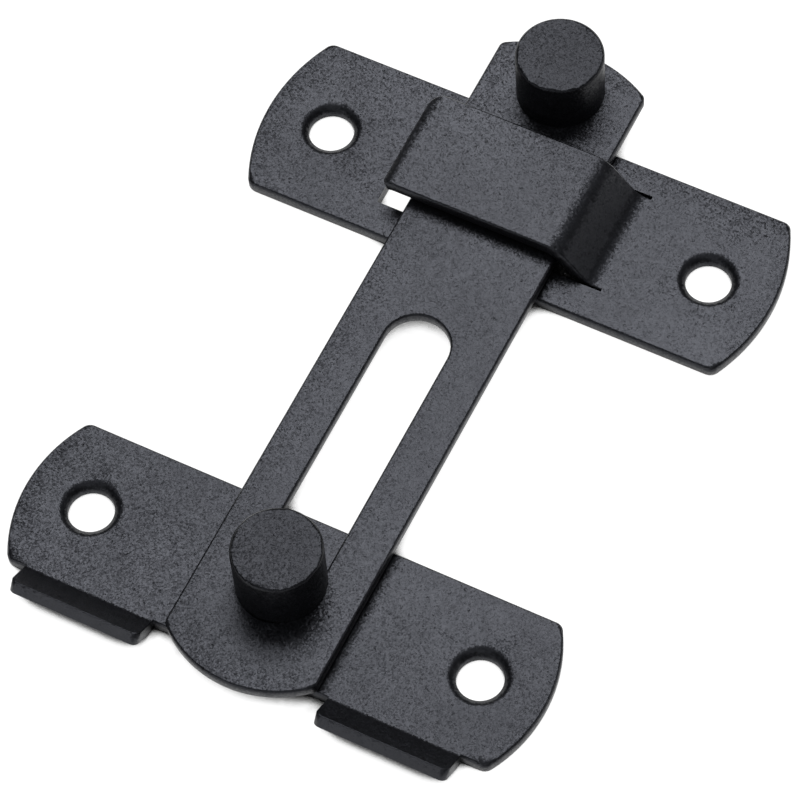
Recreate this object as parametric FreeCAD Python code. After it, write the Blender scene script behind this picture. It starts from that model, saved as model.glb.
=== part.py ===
import FreeCAD, Part
import math
import os

# Barn door latch: a base plate and a keeper plate lie flat on the same plane.
# A slotted bar turns and slides on the base plate's stud and passes under the keeper's strap.
# Millimetres. The origin is the pivot axis at the back of the base plate.
# X runs along the plates, Y runs from the base plate to the keeper, Z points away from the door.

# Sheet and plates
sheet = 2.0
bend_inside = 1.0
edge_break = 0.35
plate_length = 80.0
end_rise = 3.35
base_width = 23.6
keeper_width = 26.6
corner_radius = 1.5
keeper_shift_x = 1.8
keeper_pitch_y = 69.6

# Screw holes
screw_spacing = 60.0
screw_hole_dia = 6.65
countersink_dia = 9.25
countersink_depth = 0.9

# Pivot stud, washer and knobs
knob_dia = 12.8
knob_height = 9.3
knob_chamfer = 0.35
stud_dia = 9.5
tail_dia = 6.0
washer_dia = 13.0
washer_height = 1.0
turning_clearance = 0.05
head_clearance = 0.1

# Bar
bar_width = 23.1
bar_corner = 1.2
bar_far_radius = 21.6
bar_past_handle = 7.45
slot_clearance = 0.12
slot_far_y = 45.75
slide_up = 1.5

# Lips on the near edge of the base plate
lip_bar_gap = 1.9
lip_shift_x = -0.5
lip_width = 19.9
lip_length = 4.35
lip_angle = 33.0
lip_corner = 1.0
lip_edge_break = 0.12
lip_swing_gap = 1.1

# Strap of the keeper: cut free on three sides, raised and rooted at its +X end
strap_width = 16.8
strap_offset_y = 0.35
strap_bar_gap = 0.9
strap_free_reach = 4.12
strap_bend_reach = 0.45
strap_slope_angle = 50.0
strap_bend_inside = 2.5
strap_foot_inside = 3.5
strap_far_corner = 2.2
strap_near_corner = 0.8
lead_length = 1.5
lead_drop = 0.35
cut_side = 0.3
cut_free_end = 0.85
cut_past_foot = 1.95
handle_strap_gap = 2.95

# Heights that follow from the stack on the stud
bar_bottom = sheet + washer_height
bar_top = bar_bottom + sheet
strap_top = bar_top + strap_bar_gap + sheet

# Positions that follow from the bar and the strap
bar_side = bar_width / 2
lip_inner_x = bar_side + lip_bar_gap
bar_near_radius = math.hypot(lip_inner_x, base_width / 2) - lip_swing_gap
strap_centre_y = keeper_pitch_y + strap_offset_y
strap_near_y = strap_centre_y - strap_width / 2
strap_far_y = strap_centre_y + strap_width / 2
strap_free_x = -bar_side - strap_free_reach
strap_bend_x = bar_side + strap_bend_reach
strap_foot_x = strap_bend_x + (strap_top - sheet) / math.tan(math.radians(strap_slope_angle))
cut_root_x = strap_foot_x + cut_past_foot
handle_y = strap_far_y + handle_strap_gap + knob_dia / 2
bar_far_y = handle_y + bar_past_handle
slot_width = stud_dia + 2 * slot_clearance
slot_near_y = -stud_dia / 2 - slide_up

os.makedirs("parts", exist_ok=True)


def cylinder(diameter, height, x, y, z):
    """An upright cylinder with its lower face at z."""
    return Part.makeCylinder(diameter / 2, height, FreeCAD.Vector(x, y, z))


def bowed_blank(half_width, near, far, cx, cy, z):
    """A flat blank with straight sides and arc ends. near and far are the side's end and the arc's peak."""
    near_corner, near_peak = near
    far_corner, far_peak = far
    a = FreeCAD.Vector(cx - half_width, cy + near_corner, z)
    b = FreeCAD.Vector(cx + half_width, cy + near_corner, z)
    c = FreeCAD.Vector(cx + half_width, cy + far_corner, z)
    d = FreeCAD.Vector(cx - half_width, cy + far_corner, z)
    near_arc = Part.Arc(a, FreeCAD.Vector(cx, cy + near_peak, z), b).toShape()
    far_arc = Part.Arc(c, FreeCAD.Vector(cx, cy + far_peak, z), d).toShape()
    right = Part.LineSegment(b, c).toShape()
    left = Part.LineSegment(d, a).toShape()
    face = Part.Face(Part.Wire([near_arc, right, far_arc, left]))
    return face.extrude(FreeCAD.Vector(0, 0, sheet))


def round_upright_edges(shape, radius):
    """Round the straight edges parallel to Z."""
    boxes = [(edge, edge.BoundBox) for edge in shape.Edges]
    upright = [e for e, b in boxes if b.XLength < 1e-4 and b.YLength < 1e-4 and b.ZLength > 0.1]
    return shape.makeFillet(radius, upright)


def is_sharp(shape, edge):
    """True where the two faces beside an edge meet at a clear angle."""
    middle = edge.valueAt((edge.FirstParameter + edge.LastParameter) / 2)
    normals = [f.normalAt(*f.Surface.parameter(middle)) for f in shape.ancestorsOfType(edge, Part.Face)]
    return len(normals) == 2 and normals[0].getAngle(normals[1]) > math.radians(60)


def soften(shape, size, kept=()):
    """Break every sharp edge by a size, apart from the kept ones."""
    sharp = [e for e in shape.Edges if is_sharp(shape, e) and not any(e.isSame(k) for k in kept)]
    return shape.makeChamfer(size, sharp)


def screw_plate(width, cx, cy):
    """A flat plate with bowed ends along X and two countersunk screw holes."""
    shoulder = plate_length / 2 - end_rise
    blank = bowed_blank(width / 2, (-shoulder, -plate_length / 2), (shoulder, plate_length / 2), 0, 0, 0)
    blank = soften(round_upright_edges(blank, corner_radius), edge_break)
    blank.rotate(FreeCAD.Vector(0, 0, 0), FreeCAD.Vector(0, 0, 1), 90)
    blank.translate(FreeCAD.Vector(cx, cy, 0))
    for side in (-1, 1):
        x = cx + side * screw_spacing / 2
        cone = Part.makeCone(
            screw_hole_dia / 2,
            countersink_dia / 2,
            countersink_depth,
            FreeCAD.Vector(x, cy, sheet - countersink_depth),
        )
        blank = blank.cut(cylinder(screw_hole_dia, sheet, x, cy, 0)).cut(cone)
    return blank


def lower_line(upper):
    """The underside of a bent sheet whose upper side follows the given points."""
    normals = []
    for (u0, z0), (u1, z1) in zip(upper, upper[1:]):
        run = math.hypot(u1 - u0, z1 - z0)
        normals.append(((z1 - z0) / run, (u0 - u1) / run))
    line = []
    for (u, z), a, b in zip(upper, normals[:1] + normals, normals + normals[-1:]):
        scale = sheet / (1 + a[0] * b[0] + a[1] * b[1])
        line.append((u + (a[0] + b[0]) * scale, z + (a[1] + b[1]) * scale))
    return line


def bent_sheet(upper, insides, place, width, corners, edge_size):
    """A bent sheet from its upper line, with an inside radius for each bend and broken edges.
    place turns a point of the section into space. The first end is free, with a radius for each corner.
    The last end stays square, because it lies inside the plate that it belongs to."""
    lower = lower_line(upper)
    outline = [place(u, z) for u, z in upper + lower[::-1]]
    solid = Part.Face(Part.makePolygon(outline + outline[:1])).extrude(width)
    for i in range(1, len(upper) - 1):
        (u0, z0), (u1, z1), (u2, z2) = upper[i - 1:i + 2]
        rises = (u1 - u0) * (z2 - z1) > (z1 - z0) * (u2 - u1)
        for point, inner in ((place(*upper[i]), rises), (place(*lower[i]), not rises)):
            radius = insides[i - 1] + (0 if inner else sheet)
            solid = solid.makeFillet(radius, edges_between(solid, point, point.add(width)))
    for shift, radius in zip((FreeCAD.Vector(), width), corners):
        ends = [place(*line[0]).add(shift) for line in (upper, lower)]
        solid = solid.makeFillet(radius, edges_between(solid, *ends))
    middle = place(*upper[-1]).add(place(*lower[-1])).add(width).multiply(0.5)
    root = min(solid.Faces, key=lambda face: face.CenterOfMass.distanceToPoint(middle))
    return soften(solid, edge_size, root.Edges)


def edges_between(solid, start, end):
    """The edges that run from one point to the other."""
    found = []
    for edge in solid.Edges:
        points = [v.Point for v in edge.Vertexes]
        if all(min([p.distanceToPoint(q) for p in points] or [1.0]) < 1e-5 for q in (start, end)):
            found.append(edge)
    return found


def base_plate():
    """The plate with a hole for the stud's tail and two lips that rise from its near edge."""
    plate = screw_plate(base_width, 0, 0)
    edge_y = -base_width / 2
    angle = math.radians(lip_angle)
    tip = (edge_y - lip_length * math.cos(angle), sheet + lip_length * math.sin(angle))
    section = [tip, (edge_y, sheet), (edge_y + 2 * sheet, sheet)]
    across = FreeCAD.Vector(lip_width, 0, 0)
    for inner_end in (-lip_inner_x - lip_width, lip_inner_x):
        x0 = inner_end + lip_shift_x
        corners = [lip_corner, lip_corner]
        lip = bent_sheet(
            section, [bend_inside], lambda u, z: FreeCAD.Vector(x0, u, z), across, corners, lip_edge_break
        )
        plate = plate.fuse(lip)
    plate = plate.cut(cylinder(tail_dia, sheet, 0, 0, 0))
    return plate.removeSplitter()


def keeper_plate():
    """The plate with a strap cut out of it, bent up and over the bar, and a window beneath."""
    plate = screw_plate(keeper_width, keeper_shift_x, keeper_pitch_y)
    window = Part.makeBox(
        cut_root_x - strap_free_x + cut_free_end,
        strap_width + 2 * cut_side,
        sheet,
        FreeCAD.Vector(strap_free_x - cut_free_end, strap_near_y - cut_side, 0),
    )
    plate = plate.cut(window)
    section = [
        (strap_free_x, strap_top - lead_drop),
        (strap_free_x + lead_length, strap_top),
        (strap_bend_x, strap_top),
        (strap_foot_x, sheet),
        (cut_root_x + 2 * sheet, sheet),
    ]
    insides = [bend_inside, strap_bend_inside, strap_foot_inside]
    across = FreeCAD.Vector(0, strap_width, 0)
    corners = [strap_near_corner, strap_far_corner]
    strap = bent_sheet(
        section, insides, lambda u, z: FreeCAD.Vector(u, strap_near_y, z), across, corners, edge_break
    )
    return plate.fuse(strap).removeSplitter()


def latch_bar():
    """The slotted bar with arc ends. The near arc is centred on the pivot so it turns clear of the lips."""
    near_corner = -math.sqrt(bar_near_radius ** 2 - bar_side ** 2)
    far_corner = bar_far_y - bar_far_radius + math.sqrt(bar_far_radius ** 2 - bar_side ** 2)
    bar = bowed_blank(bar_side, (near_corner, -bar_near_radius), (far_corner, bar_far_y), 0, 0, bar_bottom)
    bar = round_upright_edges(bar, bar_corner)
    first = slot_near_y + slot_width / 2
    last = slot_far_y - slot_width / 2
    slot = Part.makeBox(slot_width, last - first, sheet, FreeCAD.Vector(-slot_width / 2, first, bar_bottom))
    for y in (first, last):
        slot = slot.fuse(cylinder(slot_width, sheet, 0, y, bar_bottom))
    bar = soften(bar.cut(slot.removeSplitter()), edge_break)
    return bar.cut(cylinder(tail_dia, sheet, 0, handle_y, bar_bottom))


def knob(y, z):
    """A turned knob with a chamfered top edge, standing at z."""
    head = cylinder(knob_dia, knob_height, 0, y, z)
    top = [e for e in head.Edges if e.BoundBox.ZMin > z + knob_height / 2]
    return head.makeChamfer(knob_chamfer, top)


def pivot_knob():
    """Knob, stud through the slot and washer, and a tail set flush in the base plate."""
    under = bar_top + head_clearance
    stud = cylinder(stud_dia, under - sheet, 0, 0, sheet)
    tail = cylinder(tail_dia, sheet, 0, 0, 0)
    return knob(0, under).fuse([stud, tail]).removeSplitter()


def handle_knob():
    """Knob at the bar's far end with a tail set flush in the bar."""
    tail = cylinder(tail_dia, sheet, 0, handle_y, bar_bottom)
    return knob(handle_y, bar_top).fuse(tail).removeSplitter()


def pivot_washer():
    """The spacer that carries the bar clear of the base plate."""
    ring = cylinder(washer_dia, washer_height, 0, 0, sheet)
    return ring.cut(cylinder(stud_dia + 2 * turning_clearance, washer_height, 0, 0, sheet))


base_plate().exportStep("parts/base_plate.step")
keeper_plate().exportStep("parts/keeper_plate.step")
latch_bar().exportStep("parts/latch_bar.step")
pivot_knob().exportStep("parts/pivot_knob.step")
handle_knob().exportStep("parts/handle_knob.step")
pivot_washer().exportStep("parts/pivot_washer.step")
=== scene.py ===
import math

import bpy
from mathutils import Matrix, Vector

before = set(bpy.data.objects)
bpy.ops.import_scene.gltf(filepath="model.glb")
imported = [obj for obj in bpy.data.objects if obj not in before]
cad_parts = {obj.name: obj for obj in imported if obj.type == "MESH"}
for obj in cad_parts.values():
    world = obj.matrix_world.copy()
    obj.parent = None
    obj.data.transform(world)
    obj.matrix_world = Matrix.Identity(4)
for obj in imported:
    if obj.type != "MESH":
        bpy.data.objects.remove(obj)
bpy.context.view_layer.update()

bpy.context.scene.view_settings.view_transform = "Standard"

# Camera. The angles are the photograph's line of sight in degrees, the focal length is in
# pixels of its frame, and the other lengths are in metres.
AZIMUTH, ELEVATION, ROLL = 31.3107, 60.5516, 5.3325
FOCAL_PX, FRAME_PX = 4386.27, 800
DISTANCE = 0.614025
AIM = Vector((0.000672, 0.034211, 0.0005))
SENSOR_MM = 36.0
CLIP_NEAR, CLIP_FAR = 0.01, 20.0

# Black coat. Scales are per metre, and colours are linear.
GRAIN_SCALE = 4600.0
GRAIN_TILT = 0.24
GRAIN_MIDDLE = (0.5, 0.5, 0.5)
MOTTLE = {"scale": 700.0, "detail": 3.0, "rough": 0.6}
CLOUDS = {"scale": 45.0, "detail": 2.0, "rough": 0.5}
MOTTLE_AND_CLOUDS = (0.7, 1.3)
TONE_SPREAD = (0.25, 0.75)
PIT_SCALE = 520.0
PIT_FLOOR, PIT_RIM = 0.06, 0.13
PIT_DEPTH = 0.4
# Painted shade at the floor of each pin pit.
PIT_PAINTED_SHADE = (0.001, 0.001, 0.001, 1.0)
COAT_DARK = (0.0015, 0.0015, 0.0018, 1.0)
COAT_LIGHT = (0.0065, 0.0068, 0.0082, 1.0)
COAT_ROUGH = (0.35, 0.42)
GLOSS_TINT = (0.85, 0.88, 1.0, 1.0)
SHEET_GLOSS = 0.36
KNOB_GLOSS = 0.23
BUMP_STRENGTH = 0.6
BUMP_DEPTH = 0.0001
# Each piece takes its coat from another part of the pattern, this far on from the last one.
PATTERN_STEP = 0.05
PATTERN_SLANT = Vector((1.0, 0.7, 0.3))

# Shading of the CAD pieces: smooth over their broken edges, apart from sharper corners.
SHARP_ANGLE = math.radians(60)
WELD_DISTANCE = 1e-6
FLAT_FACE_WEIGHT = 100

# White table, with painted shade: between these two shares of open sky within reach, its
# colour and glow go from dark to white.
FLOOR_SIZE = 6.0
FLOOR_Z = -0.00005
FLOOR_COLOUR = (0.2, 0.2, 0.2, 1.0)
# Colour of the painted shade on the table where it is closed in.
FLOOR_PAINTED_SHADE = (0.02, 0.02, 0.02, 1.0)
SHADE_FROM, SHADE_TO = 0.36, 0.46
SHADE_REACH = 0.006
SHADE_SAMPLES = 16

# Softboxes: name, direction from the object, distance, width and height, radiance. The flat
# tops mirror the back one in the photograph's view. The weak fills light the walls and lips,
# and fill_near is the one that the tops mirror in views from behind.
SOFTBOXES = (
    ("softbox_back", (-0.17, 0.43, 0.868), 0.9, (0.5, 0.42), 9.0),
    ("fill_front", (-0.25, -0.95, 0.12), 1.0, (0.6, 0.2), 4.0),
    ("fill_near", (0.3, -0.74, 0.6), 1.0, (0.8, 0.45), 1.0),
    ("fill_right", (0.9, 0.42, 0.15), 1.0, (0.5, 0.5), 0.9),
)

# World: a dim horizon, which rises to this ceiling between the two heights, as sines.
HORIZON, CEILING = 0.02, 0.5
HORIZON_SINE, CEILING_SINE = 0.6, 0.9
WORLD_COLOUR = (0.97, 0.985, 1.0, 1.0)

# Places of the sockets of a Mix node set to colour: factor, first, second and result.
MIX_FACTOR, MIX_A, MIX_B, MIX_RESULT = 0, 6, 7, 2


def camera_axes():
    """Right, up and backward axes of the camera."""
    azimuth, elevation, roll = (math.radians(v) for v in (AZIMUTH, ELEVATION, ROLL))
    flat = Vector((math.sin(azimuth), -math.cos(azimuth), 0.0))
    back = math.cos(elevation) * flat + Vector((0.0, 0.0, math.sin(elevation)))
    level = Vector((math.cos(azimuth), math.sin(azimuth), 0.0))
    rise = back.cross(level)
    right = math.cos(roll) * level - math.sin(roll) * rise
    up = math.sin(roll) * level + math.cos(roll) * rise
    return right, up, back


def make_camera():
    """The photograph's camera, without shift or depth of field."""
    data = bpy.data.cameras.new("camera")
    data.sensor_width = SENSOR_MM
    data.lens = FOCAL_PX / FRAME_PX * SENSOR_MM
    data.clip_start, data.clip_end = CLIP_NEAR, CLIP_FAR
    camera = bpy.data.objects.new("camera", data)
    right, up, back = camera_axes()
    turn = Matrix((right, up, back)).transposed()
    camera.matrix_world = Matrix.Translation(AIM + back * DISTANCE) @ turn.to_4x4()
    bpy.context.scene.collection.objects.link(camera)
    bpy.context.scene.camera = camera


class Nodes:
    """A material's node tree, with short ways to add and join nodes."""

    def __init__(self, name):
        self.material = bpy.data.materials.new(name)
        self.material.use_nodes = True
        self.tree = self.material.node_tree
        self.tree.nodes.clear()

    def add(self, kind, **settings):
        """A new node with these settings."""
        node = self.tree.nodes.new(kind)
        for key, value in settings.items():
            setattr(node, key, value)
        return node

    def join(self, source, target):
        """Link an output to an input."""
        self.tree.links.new(source, target)

    def noise(self, where, scale, detail, rough):
        """Noise from 0 to 1."""
        node = self.add("ShaderNodeTexNoise")
        self.join(where, node.inputs["Vector"])
        node.inputs["Scale"].default_value = scale
        node.inputs["Detail"].default_value = detail
        node.inputs["Roughness"].default_value = rough
        return node.outputs["Fac"]

    def cells(self, where, scale):
        """A Voronoi node, whose cells each have their own colour and distance."""
        node = self.add("ShaderNodeTexVoronoi")
        self.join(where, node.inputs["Vector"])
        node.inputs["Scale"].default_value = scale
        return node.outputs

    def remap(self, value, low, high, to_low, to_high):
        """The value brought from one range to another, and held inside it."""
        node = self.add("ShaderNodeMapRange")
        self.join(value, node.inputs["Value"])
        ends = {"From Min": low, "From Max": high, "To Min": to_low, "To Max": to_high}
        for key, number in ends.items():
            node.inputs[key].default_value = number
        return node.outputs["Result"]

    def math(self, operation, a, b):
        """A Math node on two numbers or outputs."""
        node = self.add("ShaderNodeMath", operation=operation)
        for socket, value in zip(node.inputs, (a, b)):
            if isinstance(value, (int, float)):
                socket.default_value = value
            else:
                self.join(value, socket)
        return node.outputs[0]

    def vector(self, operation, a, b=None):
        """A Vector Math node on an output and another output or a constant."""
        node = self.add("ShaderNodeVectorMath", operation=operation)
        self.join(a, node.inputs[0])
        if isinstance(b, bpy.types.NodeSocket):
            self.join(b, node.inputs[1])
        elif b is not None:
            node.inputs[1].default_value = b
        return node

    def mix(self, factor, a, b):
        """A colour between two, each a constant or an output."""
        node = self.add("ShaderNodeMix", data_type="RGBA")
        self.join(factor, node.inputs[MIX_FACTOR])
        for place, colour in ((MIX_A, a), (MIX_B, b)):
            if isinstance(colour, bpy.types.NodeSocket):
                self.join(colour, node.inputs[place])
            else:
                node.inputs[place].default_value = colour
        return node.outputs[MIX_RESULT]

    def finish(self, shader):
        """Join the shader to the material's output."""
        out = self.add("ShaderNodeOutputMaterial")
        self.join(shader, out.inputs["Surface"])
        return self.material


def powder_coat(name, shift, gloss):
    """Fine textured matt black coat: small facets, slow mottling and a few pin pits, with
    painted shade in the pits.
    """
    n = Nodes(name)
    coords = n.add("ShaderNodeTexCoord")
    where = n.vector("ADD", coords.outputs["Object"], PATTERN_SLANT * shift).outputs[0]
    grain = n.cells(where, GRAIN_SCALE)["Color"]
    mottle = n.noise(where, **MOTTLE)
    clouds = n.noise(where, **CLOUDS)
    pit = n.remap(n.cells(where, PIT_SCALE)["Distance"], PIT_FLOOR, PIT_RIM, 0.0, 1.0)

    parts = n.add("ShaderNodeSeparateColor")
    n.join(grain, parts.inputs[0])
    tone = n.math("ADD", n.math("MULTIPLY", parts.outputs[0], 0.5),
                  n.math("MULTIPLY", mottle, 0.5))
    shade = n.mix(n.remap(tone, *TONE_SPREAD, 0.0, 1.0), COAT_DARK, COAT_LIGHT)
    # The pin pits are real recesses, darkened in colour as painted shade.
    colour = n.mix(pit, PIT_PAINTED_SHADE, shade)

    bump = n.add("ShaderNodeBump")
    bump.inputs["Strength"].default_value = BUMP_STRENGTH
    bump.inputs["Distance"].default_value = BUMP_DEPTH
    height = n.math("ADD", mottle, n.math("MULTIPLY", pit, PIT_DEPTH))
    n.join(height, bump.inputs["Height"])
    lean = n.vector("SUBTRACT", grain, GRAIN_MIDDLE)
    small = n.vector("SCALE", lean.outputs[0])
    small.inputs["Scale"].default_value = GRAIN_TILT
    tilted = n.vector("ADD", bump.outputs["Normal"], small.outputs[0])
    normal = n.vector("NORMALIZE", tilted.outputs[0])

    coat = n.add("ShaderNodeBsdfPrincipled")
    n.join(colour, coat.inputs["Base Color"])
    uneven = n.remap(n.math("ADD", mottle, clouds), *MOTTLE_AND_CLOUDS, *COAT_ROUGH)
    n.join(uneven, coat.inputs["Roughness"])
    n.join(normal.outputs[0], coat.inputs["Normal"])
    coat.inputs["Specular IOR Level"].default_value = gloss
    coat.inputs["Specular Tint"].default_value = GLOSS_TINT
    return n.finish(coat.outputs[0])


def shading_group():
    """Geometry nodes that shade a piece smooth, apart from edges over SHARP_ANGLE."""
    tree = bpy.data.node_groups.new("smooth_shading", "GeometryNodeTree")
    for in_out in ("INPUT", "OUTPUT"):
        tree.interface.new_socket("Geometry", in_out=in_out, socket_type="NodeSocketGeometry")
    start = tree.nodes.new("NodeGroupInput")
    weld = tree.nodes.new("GeometryNodeMergeByDistance")
    weld.inputs["Distance"].default_value = WELD_DISTANCE
    faces = tree.nodes.new("GeometryNodeSetShadeSmooth")
    faces.domain = "FACE"
    edges = tree.nodes.new("GeometryNodeSetShadeSmooth")
    edges.domain = "EDGE"
    angle = tree.nodes.new("GeometryNodeInputMeshEdgeAngle")
    gentle = tree.nodes.new("FunctionNodeCompare")
    gentle.operation = "LESS_THAN"
    gentle.inputs["B"].default_value = SHARP_ANGLE
    end = tree.nodes.new("NodeGroupOutput")
    tree.links.new(start.outputs[0], weld.inputs["Geometry"])
    tree.links.new(weld.outputs["Geometry"], faces.inputs["Geometry"])
    tree.links.new(faces.outputs["Geometry"], edges.inputs["Geometry"])
    tree.links.new(angle.outputs["Unsigned Angle"], gentle.inputs["A"])
    tree.links.new(gentle.outputs["Result"], edges.inputs["Shade Smooth"])
    tree.links.new(edges.outputs["Geometry"], end.inputs[0])
    return tree


def dress(node, material, shading):
    """Give a CAD node its material, and shading that rolls over its broken edges."""
    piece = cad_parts[node]
    piece.data.materials.clear()
    piece.data.materials.append(material)
    smooth = piece.modifiers.new("smooth_shading", "NODES")
    smooth.node_group = shading
    even = piece.modifiers.new("flat_faces", "WEIGHTED_NORMAL")
    even.mode = "FACE_AREA"
    even.weight = FLAT_FACE_WEIGHT
    even.keep_sharp = True


def dress_all():
    """Coat every CAD node. The knobs are a little less glossy than the sheet pieces."""
    shading = shading_group()
    for index, node in enumerate(sorted(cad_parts)):
        gloss = KNOB_GLOSS if "knob" in node else SHEET_GLOSS
        dress(node, powder_coat("coat_" + node, PATTERN_STEP * index, gloss), shading)


def floor_material():
    """White table. It shows as white, and has painted shade in its colour and glow where it
    is closed in.
    """
    n = Nodes("white_table")
    rays = n.add("ShaderNodeLightPath")
    seen = n.math("MAXIMUM", rays.outputs["Is Camera Ray"], rays.outputs["Is Glossy Ray"])
    seen = n.math("MAXIMUM", seen, rays.outputs["Is Transmission Ray"])
    sky = n.add("ShaderNodeAmbientOcclusion")
    sky.samples = SHADE_SAMPLES
    sky.inputs["Distance"].default_value = SHADE_REACH
    # Painted shade: the table's colour and glow go dark where ambient occlusion finds it
    # closed in.
    is_open = n.remap(sky.outputs["AO"], SHADE_FROM, SHADE_TO, 0.0, 1.0)

    table = n.add("ShaderNodeBsdfDiffuse")
    n.join(n.mix(is_open, FLOOR_PAINTED_SHADE, FLOOR_COLOUR), table.inputs["Color"])
    glow = n.add("ShaderNodeEmission")
    n.join(n.math("MULTIPLY", seen, is_open), glow.inputs["Strength"])
    both = n.add("ShaderNodeAddShader")
    n.join(table.outputs[0], both.inputs[0])
    n.join(glow.outputs[0], both.inputs[1])
    return n.finish(both.outputs[0])


def make_floor():
    """The table that the latch lies on."""
    bpy.ops.mesh.primitive_plane_add(size=FLOOR_SIZE, location=(0, 0, FLOOR_Z))
    floor = bpy.context.object
    floor.name = "floor"
    floor.data.materials.append(floor_material())


def make_softbox(name, toward, distance, size, radiance):
    """A rectangular area light, which faces the object from the given direction."""
    width, height = size
    data = bpy.data.lights.new(name, "AREA")
    data.shape = "RECTANGLE"
    data.size, data.size_y = width, height
    data.energy = radiance * math.pi * width * height
    lamp = bpy.data.objects.new(name, data)
    direction = Vector(toward).normalized()
    lamp.location = AIM + direction * distance
    lamp.rotation_euler = direction.to_track_quat("Z", "Y").to_euler()
    bpy.context.scene.collection.objects.link(lamp)


def make_world():
    """A dim horizon that rises to a brighter ceiling, like a room with light from above."""
    world = bpy.data.worlds.new("world")
    world.use_nodes = True
    bpy.context.scene.world = world
    tree = world.node_tree
    tree.nodes.clear()
    coords = tree.nodes.new("ShaderNodeTexCoord")
    parts = tree.nodes.new("ShaderNodeSeparateXYZ")
    tree.links.new(coords.outputs["Generated"], parts.inputs[0])
    ramp = tree.nodes.new("ShaderNodeMapRange")
    ramp.interpolation_type = "SMOOTHSTEP"
    tree.links.new(parts.outputs["Z"], ramp.inputs["Value"])
    ramp.inputs["From Min"].default_value = HORIZON_SINE
    ramp.inputs["From Max"].default_value = CEILING_SINE
    ramp.inputs["To Min"].default_value = HORIZON
    ramp.inputs["To Max"].default_value = CEILING
    back = tree.nodes.new("ShaderNodeBackground")
    back.inputs["Color"].default_value = WORLD_COLOUR
    tree.links.new(ramp.outputs["Result"], back.inputs["Strength"])
    out = tree.nodes.new("ShaderNodeOutputWorld")
    tree.links.new(back.outputs[0], out.inputs["Surface"])


make_camera()
dress_all()
make_floor()
for box in SOFTBOXES:
    make_softbox(*box)
make_world()
